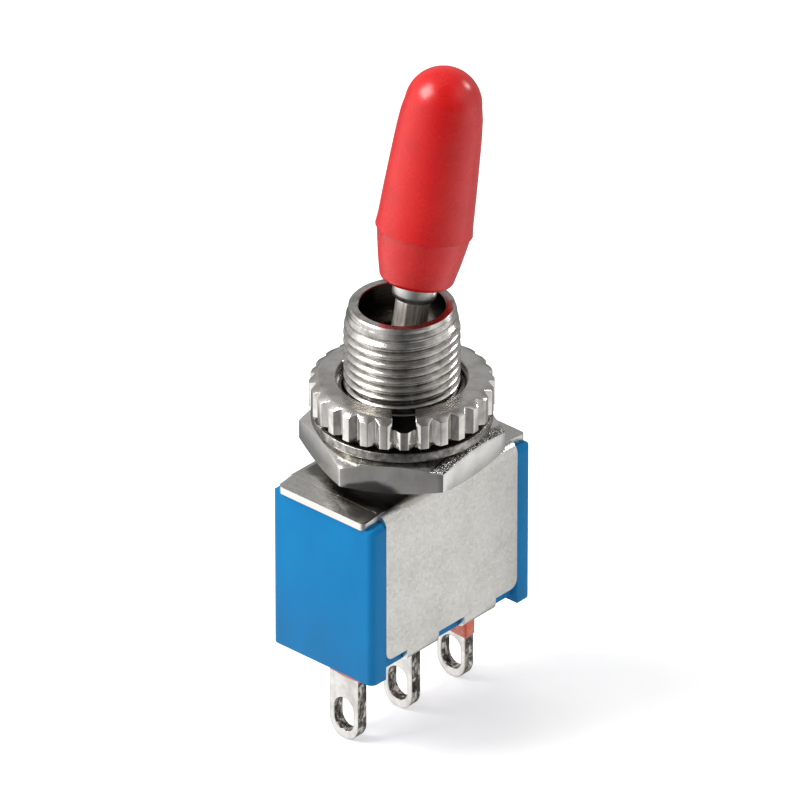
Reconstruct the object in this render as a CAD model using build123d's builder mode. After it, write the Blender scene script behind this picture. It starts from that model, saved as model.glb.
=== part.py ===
from build123d import *
from math import atan2, cos, degrees, pi, radians, sin, sqrt, tan
import os

# Panel toggle switch with a capped lever, a threaded bushing and three solder lugs, in millimetres.
# The origin is the lever's pivot, on the axis of the bushing. +Z runs up the bushing, and +X runs
# along the row of lugs. At rest the lever leans towards +X, on its stop.

os.makedirs("parts", exist_ok=True)

# Fits
fit_gap = 0.02
running_gap = 0.05
thread_gap = 0.05

# Bushing, with heights counted from the frame's top plate
pivot_height = 5.06
bushing_height = 9.1
thread_radius = 3.0
thread_taper = 0.03
covered_thread_height = 4.95
thread_relief_height = 0.45
thread_relief_radius = 2.75
rim_chamfer = 0.33
mouth_radius = 2.22
mouth_depth = 1.9
throat_radius = 1.6
skirt_bore_radius = 2.3
spigot_radius = 2.52
stake_radius = 2.84
stake_height = 0.35
stake_chamfer = 0.1

# Lever, with lengths counted from the pivot along its own axis
lever_lean = 12.3
ball_radius = 1.88
neck_root_radius = 0.95
neck_root_length = 2.6
neck_flats = 2.15
neck_length = 4.5
collar_radius = 1.15
collar_chamfer = 0.15
shank_radius = 1.0
shank_length = 15.0
stem_radius = 0.95
stem_length = 6.3
spring_bore_radius = 0.62
spring_bore_top = 2.7
pin_radius = 0.4
pin_length = 4.4

# Lever cap, a soft sleeve with a domed tip
cap_foot = 5.05
cap_tip = 16.7
cap_foot_radius = 1.95
cap_foot_chamfer = 0.25
ridge_length = 7.87
ridge_height = 0.38
ridge_radius = 2.52
ridge_step = 0.06
cap_shoulder = 14.3
cap_shoulder_radius = 2.12
dome_step = 0.12

# Plunger and its spring
plunger_reach = 8.76
plunger_nose_radius = 0.5
plunger_nose_taper = 0.3
plunger_tip_radius = 0.28
plunger_stroke = 0.45
plunger_guide_top = 4.95
plunger_collar_radius = 0.82
plunger_collar_height = 0.3
spring_wire = 0.16
spring_turns = 4

# Nuts and washer on the thread
hex_nut_base = 0.55
hex_nut_height = 1.85
hex_across_flats = 9.22
hex_turn = 5.3
hex_top_radius = 3.9
hex_top_chamfer = 0.55
hex_bottom_chamfer = 0.25
washer_radius = 4.68
washer_height = 0.5
washer_band = 0.75
washer_teeth = 10
washer_tooth_width = 1.25
washer_rest_gap = 0.02
ring_nut_gap = 0.28
ring_nut_height = 1.65
ring_nut_radius = 4.75
ring_face_inset = 0.45
serrations = 28
serration_depth = 0.32
serration_width = 0.68
ring_countersink = 0.38
wrench_slot_width = 1.2
wrench_slot_depth = 0.6
wrench_slot_turn = 223.4

# Frame, one folded sheet
sheet = 0.4
frame_length = 10.07
frame_width = 6.93
flange_drop = 8.6
flange_corner = 0.5
bend_radius = 0.65
end_tab_width = 5.96
end_tab_reach = 6.22
end_tab_drop = 0.12
end_tab_bend = 1.2
end_tab_corner = 0.3
fold_tab_width = 2.4
fold_tab_place = 2.2
fold_tab_drop = 9.32
fold_tab_reach = 1.35

# Case, one moulding
case_length = 12.26
case_corner = 0.4
case_floor_underside = 9.3
case_foot = 9.65
case_floor_top = 6.6
cavity_end_room = 0.34
cavity_width = 4.1
cavity_corner = 0.4
seal_pocket_depth = 0.8
seal_pocket_length = 1.7
seal_pocket_width = 3.2

# Terminals and contacts
lug_pitch = 4.14
lug_width = 2.0
lug_thickness = 0.64
lug_tip = 14.9
eyelet_width = 1.3
eyelet_height = 1.95
eyelet_centre = 13.45
shoulder_width = 2.7
pad_thickness = 0.5
pad_reach = 1.6
button_radius = 0.65
button_height = 0.3
seal_wall = 0.12
seal_edge = 0.03
seal_creep = {"front": 0.3, "common": 0.25, "rear": 1.0}

# Contact rocker, a bent strip that tips on the common terminal
rocker_hinge_drop = 9.21
rocker_tip_angle = 9.0
rocker_thickness = 0.3
rocker_width = 2.6
rocker_wing_angle = 21.0
rocker_arm_angle = 9.0
rocker_wing_run = 2.3
rocker_arm_run = 1.85
rocker_button_run = 3.3
keel_radius = 0.2
contact_gap = 0.03

# Heights worked out from the plate
plate = -pivot_height
bushing_top = plate + bushing_height
free_thread_start = plate + covered_thread_height
bushing_foot = plate - sheet - stake_height
case_top = plate - sheet - fit_gap
floor_top = plate - case_floor_top
floor_underside = plate - case_floor_underside
foot = plate - case_foot
washer_base = plate + hex_nut_base + hex_nut_height + washer_rest_gap
ring_nut_base = washer_base + washer_height + ring_nut_gap
ring_nut_top = ring_nut_base + ring_nut_height
nut_bore_radius = thread_radius + thread_gap

# The lever's own frame: local X is square to its axis, and local Y runs along it
lean = radians(lever_lean)
lever_axis = Axis((0, 0, 0), (sin(lean), 0, cos(lean)))
lever_side = Plane(origin=(0, 0, 0), x_dir=(cos(lean), 0, -sin(lean)), z_dir=(0, -1, 0))


def along_lever(length):
    """A plane square to the lever's axis, at a length from the pivot."""
    return Plane(
        origin=lever_axis.direction * length,
        x_dir=lever_side.x_dir,
        z_dir=lever_axis.direction,
    )


# Lever cap: a dip-moulded sleeve, ridged above its skirt, over the lever's shank
cap_bore_radius = shank_radius + fit_gap
dome_radius = cap_shoulder_radius - dome_step
dome_centre = cap_tip - dome_radius
with BuildPart() as lever_cap:
    with BuildSketch(lever_side) as cap_half:
        with BuildLine():
            Polyline(
                (0, cap_foot),
                (cap_foot_radius, cap_foot),
                (ridge_radius - ridge_step, ridge_length),
                (ridge_radius, ridge_length + ridge_step),
                (ridge_radius, ridge_length + ridge_height - ridge_step),
                (ridge_radius - ridge_step, ridge_length + ridge_height),
                (cap_shoulder_radius, cap_shoulder),
                (dome_radius, cap_shoulder + dome_step),
                (dome_radius, dome_centre),
            )
            CenterArc((0, dome_centre), dome_radius, 0, 90)
            Line((0, cap_tip), (0, cap_foot))
        make_face()
        foot_corner = Vector(cap_foot_radius, cap_foot)
        chamfer(cap_half.vertices().sort_by_distance(foot_corner)[0], cap_foot_chamfer)
    revolve(axis=lever_axis)
    with BuildSketch(along_lever(cap_foot)):
        Circle(cap_bore_radius)
    extrude(amount=shank_length + fit_gap - cap_foot, mode=Mode.SUBTRACT)
lever_cap.part.label = "lever_cap"
export_step(lever_cap.part, "parts/lever_cap.step")

# Toggle lever: turned from one bar, with a ball, an eight-sided neck and a bored stem
with BuildPart() as toggle_lever:
    ball_join = sqrt(ball_radius**2 - stem_radius**2)
    neck_join = sqrt(ball_radius**2 - neck_root_radius**2)
    with BuildSketch(lever_side):
        with BuildLine():
            Polyline((0, -stem_length), (stem_radius, -stem_length), (stem_radius, -ball_join))
            ThreePointArc(
                (stem_radius, -ball_join),
                (ball_radius, 0),
                (neck_root_radius, neck_join),
            )
            Polyline(
                (neck_root_radius, neck_join),
                (neck_root_radius, neck_length),
                (collar_radius - collar_chamfer, neck_length),
                (collar_radius, neck_length + collar_chamfer),
                (collar_radius, cap_foot - fit_gap),
                (shank_radius, cap_foot - fit_gap),
                (shank_radius, shank_length - shank_radius / 2),
                (shank_radius / 2, shank_length),
                (0, shank_length),
                (0, -stem_length),
            )
        make_face()
    revolve(axis=lever_axis)
    with BuildSketch(along_lever(neck_root_length)):
        RegularPolygon(neck_flats / 2, 8, major_radius=False, rotation=180 / 8)
    extrude(amount=neck_length - neck_root_length)
    with BuildSketch(along_lever(-stem_length)):
        Circle(spring_bore_radius)
    extrude(amount=stem_length - spring_bore_top, mode=Mode.SUBTRACT)
    with BuildSketch(Plane.XZ):
        Circle(pin_radius + fit_gap)
    extrude(amount=pin_length, both=True, mode=Mode.SUBTRACT)
toggle_lever.part.label = "toggle_lever"
export_step(toggle_lever.part, "parts/toggle_lever.step")

# Pivot pin: through the ball, with its ends in the bushing's two slots
with BuildPart() as pivot_pin:
    with BuildSketch(Plane.XZ):
        Circle(pin_radius)
    extrude(amount=pin_length / 2, both=True)
pivot_pin.part.label = "pivot_pin"
export_step(pivot_pin.part, "parts/pivot_pin.step")

# Plunger: a moulded pin that slides in the stem and presses on the rocker
plunger_collar_top = stem_length + plunger_stroke + running_gap
plunger_collar_foot = plunger_collar_top + plunger_collar_height
plunger_guide_radius = spring_bore_radius - running_gap
with BuildPart() as plunger:
    with BuildSketch(lever_side):
        with BuildLine():
            Polyline(
                (0, -plunger_reach),
                (plunger_tip_radius, -plunger_reach),
                (plunger_nose_radius, plunger_nose_taper - plunger_reach),
                (plunger_nose_radius, -plunger_collar_foot),
                (plunger_collar_radius, -plunger_collar_foot),
                (plunger_collar_radius, -plunger_collar_top),
                (plunger_guide_radius, -plunger_collar_top),
                (plunger_guide_radius, -plunger_guide_top),
                (0, -plunger_guide_top),
                (0, -plunger_reach),
            )
        make_face()
    revolve(axis=lever_axis)
plunger.part.label = "plunger"
export_step(plunger.part, "parts/plunger.step")

# Plunger spring: a coil between the plunger and the end of the stem's bore
spring_room = plunger_guide_top - spring_bore_top
spring_height = spring_room - spring_wire - 2 * fit_gap
spring_radius = plunger_guide_radius - spring_wire / 2
spring_foot = plunger_guide_top - spring_wire / 2 - fit_gap
with BuildPart() as plunger_spring:
    with BuildLine() as coil:
        Helix(
            pitch=spring_height / spring_turns,
            height=spring_height,
            radius=spring_radius,
            center=lever_axis.direction * -spring_foot,
            direction=lever_axis.direction,
        )
    with BuildSketch(Plane(origin=coil.line @ 0, z_dir=coil.line % 0)):
        RegularPolygon(spring_wire / 2, 4)
    sweep()
plunger_spring.part.label = "plunger_spring"
export_step(plunger_spring.part, "parts/plunger_spring.step")

# Bushing: turned, with a domed seat for the ball, and staked over under the plate
seat_radius = ball_radius + running_gap
seat_height = sqrt(seat_radius**2 - throat_radius**2)
seat_angle = degrees(atan2(seat_height, throat_radius))
relief_top = plate + thread_relief_height
with BuildPart() as bushing:
    with BuildSketch(Plane.XZ):
        with BuildLine():
            Polyline(
                (skirt_bore_radius, bushing_foot),
                (stake_radius - stake_chamfer, bushing_foot),
                (stake_radius, bushing_foot + stake_chamfer),
                (stake_radius, plate - sheet),
                (spigot_radius, plate - sheet),
                (spigot_radius, plate),
                (thread_relief_radius, plate),
                (thread_relief_radius, relief_top),
                (thread_radius - thread_taper, relief_top + thread_radius - thread_relief_radius),
                (thread_radius, free_thread_start),
                (thread_radius, bushing_top - rim_chamfer),
                (thread_radius - rim_chamfer, bushing_top),
                (mouth_radius, bushing_top),
                (mouth_radius, bushing_top - mouth_depth),
                (throat_radius, bushing_top - mouth_depth),
                (throat_radius, seat_height),
            )
            CenterArc((0, 0), seat_radius, 0, seat_angle)
            Polyline((seat_radius, 0), (skirt_bore_radius, bushing_foot))
        make_face()
    revolve(axis=Axis.Z)
    with BuildSketch(Plane.XZ):
        Circle(pin_radius + running_gap)
        with Locations((0, bushing_foot / 2)):
            Rectangle(2 * (pin_radius + running_gap), -bushing_foot)
    extrude(amount=pin_length / 2 + running_gap, both=True, mode=Mode.SUBTRACT)
bushing.part.label = "bushing"
export_step(bushing.part, "parts/bushing.step")

# Hex nut: its corners chamfered on both faces, under the panel
hex_corner_radius = hex_across_flats / 2 / cos(pi / 6)
hex_base = plate + hex_nut_base
hex_top = hex_base + hex_nut_height
with BuildPart() as hex_nut:
    with BuildSketch(Plane.XY.offset(hex_base)):
        RegularPolygon(hex_corner_radius, 6, rotation=hex_turn)
        Circle(nut_bore_radius, mode=Mode.SUBTRACT)
    extrude(amount=hex_nut_height)
    with BuildSketch(Plane.XZ):
        Polygon(
            (0, hex_base),
            (hex_across_flats / 2, hex_base),
            (hex_corner_radius, hex_base + hex_bottom_chamfer),
            (hex_corner_radius, hex_top - hex_top_chamfer),
            (hex_top_radius, hex_top),
            (0, hex_top),
            align=None,
        )
    revolve(axis=Axis.Z, mode=Mode.INTERSECT)
hex_nut.part.label = "hex_nut"
export_step(hex_nut.part, "parts/hex_nut.step")

# Lock washer: a stamped ring with teeth turned in towards the thread
with BuildPart() as lock_washer:
    with BuildSketch(Plane.XY.offset(washer_base)):
        Circle(washer_radius)
        Circle(washer_radius - washer_band, mode=Mode.SUBTRACT)
        with PolarLocations((washer_radius + nut_bore_radius) / 2 - washer_band / 2, washer_teeth):
            Rectangle(washer_radius - nut_bore_radius, washer_tooth_width)
        Circle(nut_bore_radius, mode=Mode.SUBTRACT)
    extrude(amount=washer_height)
lock_washer.part.label = "lock_washer"
export_step(lock_washer.part, "parts/lock_washer.step")

# Ring nut: a round face nut, its rim cut with serrations and its face with two wrench slots
serration_pitch = 360 / serrations
ring_chamfer = ring_face_inset * tan(pi / 6)
with BuildPart() as ring_nut:
    with BuildSketch(Plane.XZ):
        Polygon(
            (nut_bore_radius, ring_nut_base),
            (ring_nut_radius, ring_nut_base),
            (ring_nut_radius, ring_nut_top - ring_chamfer),
            (ring_nut_radius - ring_face_inset, ring_nut_top),
            (nut_bore_radius + ring_countersink, ring_nut_top),
            (nut_bore_radius, ring_nut_top - ring_countersink),
            align=None,
        )
    revolve(axis=Axis.Z)
    with BuildSketch(Plane.XY.offset(ring_nut_base)):
        first_valley = wrench_slot_turn + serration_pitch / 2
        with PolarLocations(ring_nut_radius, serrations, start_angle=first_valley):
            Polygon(
                (-serration_depth, 0),
                (serration_depth, serration_width),
                (serration_depth, -serration_width),
                align=None,
            )
    extrude(amount=ring_nut_height, mode=Mode.SUBTRACT)
    with BuildSketch(Plane.XY.offset(ring_nut_top - wrench_slot_depth)):
        Rectangle(3 * ring_nut_radius, wrench_slot_width, rotation=wrench_slot_turn)
    extrude(amount=ring_nut_height, mode=Mode.SUBTRACT)
ring_nut.part.label = "ring_nut"
export_step(ring_nut.part, "parts/ring_nut.step")

# Frame: one folded sheet, staked to the bushing, with four tabs that fold under the case
half_width = frame_width / 2
half_inside = half_width - sheet
flange_foot = plate - flange_drop
tab_start = end_tab_reach - end_tab_bend
tab_underside = plate - fold_tab_drop
with BuildPart() as frame:
    with BuildSketch(Plane.YZ) as fold:
        with Locations((0, plate - flange_drop / 2)):
            Rectangle(frame_width, flange_drop)
        fillet(fold.vertices().group_by(Axis.Y)[-1], bend_radius)
        with BuildSketch(mode=Mode.PRIVATE) as hollow:
            with Locations((0, flange_foot + (flange_drop - sheet) / 2)):
                Rectangle(2 * half_inside, flange_drop - sheet)
            fillet(hollow.vertices().group_by(Axis.Y)[-1], bend_radius - sheet)
        add(hollow.sketch, mode=Mode.SUBTRACT)
    extrude(amount=frame_length / 2, both=True)
    flange_ends = frame.edges().filter_by(Axis.Y).group_by(Axis.Z)[0]
    fillet(flange_ends, flange_corner)
    for side in (-1, 1):
        with BuildSketch(Plane.XZ):
            Polygon(
                (side * (tab_start - sheet), plate),
                (side * tab_start, plate),
                (side * end_tab_reach, plate - end_tab_drop),
                (side * end_tab_reach, plate - end_tab_drop - sheet),
                (side * tab_start, plate - sheet),
                (side * (tab_start - sheet), plate - sheet),
                align=None,
            )
        extrude(amount=end_tab_width / 2, both=True)
        tab_corners = frame.edges().filter_by(Axis.Z).group_by(Axis.X)[-1 if side > 0 else 0]
        fillet(tab_corners, end_tab_corner)
        for place in (-fold_tab_place, fold_tab_place):
            with BuildSketch(Plane.YZ.offset(place)) as tab_fold:
                Polygon(
                    (side * half_width, flange_foot + sheet),
                    (side * half_width, tab_underside),
                    (side * (half_width - fold_tab_reach), tab_underside),
                    (side * (half_width - fold_tab_reach), tab_underside + sheet),
                    (side * half_inside, tab_underside + sheet),
                    (side * half_inside, flange_foot + sheet),
                    align=None,
                )
                outer_corner = Vector(side * half_width, tab_underside)
                fillet(tab_fold.vertices().sort_by_distance(outer_corner)[0], sheet)
            extrude(amount=fold_tab_width / 2, both=True)
    with BuildSketch(Plane.XY.offset(plate - sheet)):
        Circle(spigot_radius + fit_gap)
    extrude(amount=sheet, mode=Mode.SUBTRACT)
frame.part.label = "frame"
export_step(frame.part, "parts/frame.step")

# Case: a moulded box, waisted by the sheet's thickness where the frame's flanges lie
recess_half = frame_length / 2 + fit_gap
waist_half = half_inside - fit_gap
case_half = case_length / 2
cavity_length = lug_pitch * 2 + lug_thickness + 2 * cavity_end_room
end_drop = end_tab_drop * (case_half - tab_start) / end_tab_bend
lug_places = {"front": -lug_pitch, "common": 0, "rear": lug_pitch}
with BuildPart() as case:
    with BuildSketch(Plane.XZ):
        Polygon(
            (-case_half, case_top - end_drop),
            (-tab_start, case_top),
            (tab_start, case_top),
            (case_half, case_top - end_drop),
            (case_half, foot),
            (recess_half, foot),
            (recess_half, floor_underside),
            (-recess_half, floor_underside),
            (-recess_half, foot),
            (-case_half, foot),
            align=None,
        )
    extrude(amount=half_width, both=True)
    with BuildSketch(Plane.XY.offset(foot)):
        RectangleRounded(case_length, frame_width, case_corner)
    extrude(amount=case_foot, mode=Mode.INTERSECT)
    with BuildSketch(Plane.YZ) as block:
        with Locations((0, case_top - case_foot)):
            Rectangle(frame_width, 2 * case_foot)
        fillet(block.vertices().group_by(Axis.Y)[-1], case_corner)
    extrude(amount=case_length, both=True, mode=Mode.INTERSECT)
    with BuildSketch(Plane.YZ) as waist:
        with Locations((0, case_top)):
            Rectangle(2 * frame_width, 3 * case_foot)
        with BuildSketch(mode=Mode.PRIVATE) as core:
            with Locations((0, case_top - case_foot)):
                Rectangle(2 * waist_half, 2 * case_foot)
            fillet(core.vertices().group_by(Axis.Y)[-1], bend_radius - sheet)
        add(core.sketch, mode=Mode.SUBTRACT)
    extrude(amount=recess_half, both=True, mode=Mode.SUBTRACT)
    with BuildSketch(Plane.XY.offset(floor_top)):
        RectangleRounded(cavity_length, cavity_width, cavity_corner)
    extrude(amount=case_floor_top, mode=Mode.SUBTRACT)
    with BuildSketch(Plane.XY.offset(bushing_foot - running_gap)):
        Rectangle(2 * (stake_radius + running_gap), frame_width)
    extrude(amount=stake_height + sheet, mode=Mode.SUBTRACT)
    with BuildSketch(Plane.XY.offset(floor_underside)):
        with Locations(*[(place, 0) for place in lug_places.values()]):
            Rectangle(lug_thickness + 2 * fit_gap, lug_width + 2 * fit_gap)
    extrude(amount=case_floor_underside - case_floor_top, mode=Mode.SUBTRACT)
    with BuildSketch(Plane.XY.offset(floor_underside)):
        with Locations(*[(place, 0) for place in lug_places.values()]):
            Rectangle(seal_pocket_length, seal_pocket_width)
    extrude(amount=seal_pocket_depth, mode=Mode.SUBTRACT)
    notch_depth = half_width - fold_tab_reach - fit_gap
    with BuildSketch(Plane.XY.offset(tab_underside)):
        with GridLocations(2 * fold_tab_place, half_width + notch_depth, 2, 2):
            Rectangle(fold_tab_width + 2 * fit_gap, half_width - notch_depth)
    extrude(amount=sheet + fit_gap, mode=Mode.SUBTRACT)
case.part.label = "case"
export_step(case.part, "parts/case.step")

# The rocker's own frame: it rests tipped, its front end down on the front terminal
hinge_height = -rocker_hinge_drop
tip = radians(rocker_tip_angle)
rocker_side = Plane(
    origin=(0, 0, hinge_height),
    x_dir=(cos(tip), 0, sin(tip)),
    z_dir=(0, -1, 0),
)
wing = radians(rocker_wing_angle)
arm = radians(rocker_arm_angle)
keel_offset = (keel_radius - rocker_thickness / 2) / cos(wing)
wing_rise = rocker_wing_run * tan(wing) - keel_offset
arm_rise = wing_rise + rocker_arm_run * tan(arm)
button_rise = wing_rise + (rocker_button_run - rocker_wing_run) * tan(arm)

# Contact rocker: a strip bent to a trough, with a rounded keel along its middle
with BuildPart() as contact_rocker:
    with BuildSketch(rocker_side) as strip:
        with BuildLine():
            Polyline(
                (-rocker_wing_run - rocker_arm_run, arm_rise),
                (-rocker_wing_run, wing_rise),
                (0, -keel_offset),
                (rocker_wing_run, wing_rise),
                (rocker_wing_run + rocker_arm_run, arm_rise),
            )
        trace(line_width=rocker_thickness)
        keel = strip.vertices().sort_by_distance(Vector(0, -keel_radius))[0]
        fillet(keel, keel_radius)
    extrude(amount=rocker_width / 2, both=True)
contact_rocker.part.label = "contact_rocker"
export_step(contact_rocker.part, "parts/contact_rocker.step")

# Moving contact buttons: riveted under the rocker's arms
for name, side in {"front": -1, "rear": 1}.items():
    arm_normal = Vector(-side * sin(arm), cos(arm))
    on_arm = Vector(side * rocker_button_run, button_rise) - arm_normal * (rocker_thickness / 2)
    seat = rocker_side.from_local_coords(on_arm)
    down = rocker_side.from_local_coords(on_arm - arm_normal) - seat
    with BuildPart() as moving_contact:
        with BuildSketch(Plane(origin=seat, z_dir=down)):
            Circle(button_radius)
        extrude(amount=button_height)
    moving_contact.part.label = f"moving_contact_{name}"
    export_step(moving_contact.part, f"parts/moving_contact_{name}.step")
    if name == "front":
        touch = rocker_side.from_local_coords(on_arm - arm_normal * button_height)

# Terminals: stamped lugs, the outer two bent over inside to carry a fixed contact
fixed_contact_top = touch.Z - contact_gap
pad_top = fixed_contact_top - button_height
common_top = hinge_height - keel_radius
lug_end = plate - lug_tip
eyelet_height_place = plate - eyelet_centre
for name, place in lug_places.items():
    blade_top = common_top if name == "common" else pad_top
    inward = -1 if place > 0 else 1
    with BuildPart() as terminal:
        with BuildSketch(Plane.YZ.offset(place)):
            with Locations((0, lug_end + lug_width / 2)):
                Circle(lug_width / 2)
            with Locations((0, (lug_end + lug_width / 2 + floor_top) / 2)):
                Rectangle(lug_width, floor_top - lug_end - lug_width / 2)
            with Locations((0, (floor_top + fit_gap + blade_top) / 2)):
                Rectangle(shoulder_width, blade_top - floor_top - fit_gap)
            with Locations((0, floor_top)):
                Rectangle(lug_width, 2 * fit_gap)
            with Locations((0, eyelet_height_place)):
                SlotOverall(eyelet_height, eyelet_width, rotation=90, mode=Mode.SUBTRACT)
        extrude(amount=lug_thickness / 2, both=True)
        if name == "common":
            with BuildSketch(Plane.XZ):
                with Locations((0, hinge_height)):
                    Circle(keel_radius + running_gap)
            extrude(amount=shoulder_width, both=True, mode=Mode.SUBTRACT)
        else:
            with BuildSketch(Plane.XZ):
                pad_middle = place + inward * (pad_reach - lug_thickness) / 2
                with Locations((pad_middle, pad_top - pad_thickness / 2)):
                    Rectangle(pad_reach, pad_thickness)
            extrude(amount=shoulder_width / 2, both=True)
    terminal.part.label = f"terminal_{name}"
    export_step(terminal.part, f"parts/terminal_{name}.step")

# Fixed contact buttons: riveted on the outer terminals, under the rocker's buttons
for name, side in {"front": -1, "rear": 1}.items():
    with BuildPart() as fixed_contact:
        with BuildSketch(Plane.XY.offset(pad_top)):
            with Locations((-side * touch.X, 0)):
                Circle(button_radius)
        extrude(amount=button_height)
    fixed_contact.part.label = f"fixed_contact_{name}"
    export_step(fixed_contact.part, f"parts/fixed_contact_{name}.step")

# Terminal seals: resin poured round each lug, which creeps a little way down it
for name, place in lug_places.items():
    creep_wide = (lug_thickness + 2 * seal_wall, lug_width + 2 * seal_wall)
    creep_thin = (lug_thickness + 2 * seal_edge, lug_width + 2 * seal_edge)
    with BuildPart() as terminal_seal:
        with BuildSketch(Plane.XY.offset(floor_underside)):
            with Locations((place, 0)):
                Rectangle(seal_pocket_length, seal_pocket_width)
        extrude(amount=seal_pocket_depth)
        with BuildSketch(Plane.XY.offset(floor_underside)):
            with Locations((place, 0)):
                Rectangle(*creep_wide)
        with BuildSketch(Plane.XY.offset(floor_underside - seal_creep[name])):
            with Locations((place, 0)):
                Rectangle(*creep_thin)
        loft()
        with BuildSketch(Plane.XY.offset(floor_underside - case_foot)):
            with Locations((place, 0)):
                Rectangle(lug_thickness, lug_width)
        extrude(amount=2 * case_foot, mode=Mode.SUBTRACT)
    terminal_seal.part.label = f"terminal_seal_{name}"
    export_step(terminal_seal.part, f"parts/terminal_seal_{name}.step")
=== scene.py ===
from math import cos, pi, radians, sin

import bmesh
import bpy
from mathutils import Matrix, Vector
from mathutils.noise import noise as noise_at


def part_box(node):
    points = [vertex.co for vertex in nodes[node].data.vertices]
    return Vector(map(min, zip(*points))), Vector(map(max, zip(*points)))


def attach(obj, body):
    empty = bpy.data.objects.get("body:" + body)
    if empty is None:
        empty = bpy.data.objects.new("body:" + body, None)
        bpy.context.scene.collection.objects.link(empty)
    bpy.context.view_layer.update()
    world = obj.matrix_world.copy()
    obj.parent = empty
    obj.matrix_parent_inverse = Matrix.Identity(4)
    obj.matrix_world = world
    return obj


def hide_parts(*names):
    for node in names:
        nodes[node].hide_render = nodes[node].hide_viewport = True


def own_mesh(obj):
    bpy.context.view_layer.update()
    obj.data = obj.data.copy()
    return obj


# A panel toggle switch on a pale floor. Sizes here are in millimetres in the model's own frame:
# the origin is the lever's pivot, +Z runs up the bushing and +X along the row of lugs.

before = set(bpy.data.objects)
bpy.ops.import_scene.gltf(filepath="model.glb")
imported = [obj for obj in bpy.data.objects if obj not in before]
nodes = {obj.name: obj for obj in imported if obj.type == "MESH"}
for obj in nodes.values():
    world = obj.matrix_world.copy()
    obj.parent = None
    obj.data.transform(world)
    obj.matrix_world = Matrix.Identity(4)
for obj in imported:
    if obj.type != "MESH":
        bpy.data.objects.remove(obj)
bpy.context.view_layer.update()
MM = 0.001

# Lever and its cap, with heights up the lever's own axis
LEAN = radians(12.3)
STEM_FOOT = -6.3
STEM_BORE_TOP = -2.7
STEM_RADIUS = 0.95
STEM_BORE = 0.62
BALL_RADIUS = 1.88
NECK_FOOT = 2.59
NECK_TOP = 4.03
NECK_FLATS = 1.7
COLLAR_TOP = 5.03
COLLAR_RADIUS = 1.15
SHANK_TOP = 15.0
SHANK_RADIUS = 1.0
CAP_FOOT = 5.05
CAP_BORE = 1.02
CAP_BORE_TOP = 15.02
CAP_TIP = 16.69

# Bushing and its thread, which run through the frame's top plate
PLATE = -5.06
SHEET = 0.4
BUSHING_TOP = 4.04
BUSHING_FOOT = -5.81
BUSHING_BORE = 2.3
BUSHING_NECK = 2.84
STAKE_HOLE = 2.52
SEAT_RADIUS = 1.93
THREAD_RADIUS = 3.0
THREAD_PITCH = 0.5
THREAD_ROOT = 2.74
RIM_RADIUS = 2.67
MOUTH_RADIUS = 2.22

# Nuts: the ring's countersink and wrench slots, and the hexagon's torn corner
RING_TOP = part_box("ring_nut")[1][2] / MM
RING_BORE = 3.05
COUNTERSINK_EDGE = 3.42
SLOT_WIDTH = 1.2
SLOT_DEPTH = 0.6
SLOT_TURN = 223.4
TORN_CORNER = 275.3
TORN_REACH = 4.0

# Plunger spring, with heights down the lever's axis
SPRING_TOP = -2.81
SPRING_FOOT = -4.84
SPRING_RADIUS = 0.49
SPRING_WIRE = 0.16
SPRING_TURNS = 4.0

# Lugs and the pockets of resin that they stand in, in halves of their sections
CASE_UNDERSIDE = PLATE - 9.3
LUG_PITCH = 4.14
LUG_HALF = (0.29, 0.97)
POCKET_HALF = (0.85, 1.6)

# Edges: where smooth shading breaks, and which edges of a solid are rounded over
SMOOTH_BELOW = radians(32)
FLAT_BELOW = radians(0.5)
ROUNDED_ABOVE = radians(28)

# Studio, with the floor's size and the lamps' distance in metres
FLOOR_HEIGHT = -19.97
FLOOR_SIZE = 3.0
FLOOR_GLOW = 0.45
LAMP_DISTANCE = 0.52
SURROUND_LIGHT = 0.42
SURROUND_MIRRORED = 1.6


# Shader helpers


def linear(code):
    """An sRGB hex colour as linear red, green, blue and alpha."""
    parts = [int(code[i:i + 2], 16) / 255 for i in (1, 3, 5)]
    return [c / 12.92 if c < 0.04045 else ((c + 0.055) / 1.055) ** 2.4 for c in parts] + [1.0]


def add(tree, kind, sockets=None, out=0, stops=(), **settings):
    """A node with its settings, its colour stops, and each socket's value or incoming link.

    It gives the output with that place or name, or with out=None all of them.
    """
    made = tree.nodes.new(kind)
    for name, value in settings.items():
        setattr(made, name, value)
    for index, (place, code) in enumerate(stops):
        if index > 1:
            made.color_ramp.elements.new(place)
        made.color_ramp.elements[index].position = place
        made.color_ramp.elements[index].color = linear(code)
    for name, given in (sockets or {}).items():
        if isinstance(given, bpy.types.NodeSocket):
            tree.links.new(given, made.inputs[name])
        else:
            made.inputs[name].default_value = given
    return made.outputs if out is None or not made.outputs else made.outputs[out]


def blank(name):
    """An empty material, its node tree, and a piece's own coordinates in millimetres."""
    material = bpy.data.materials.new(name)
    material.use_nodes = True
    tree = material.node_tree
    tree.nodes.clear()
    own = add(tree, "ShaderNodeTexCoord", out="Object")
    place = add(tree, "ShaderNodeVectorMath", {0: own, 1: (1000, 1000, 1000)}, operation="MULTIPLY")
    return material, tree, place


# Materials, with noise scales per millimetre


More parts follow.
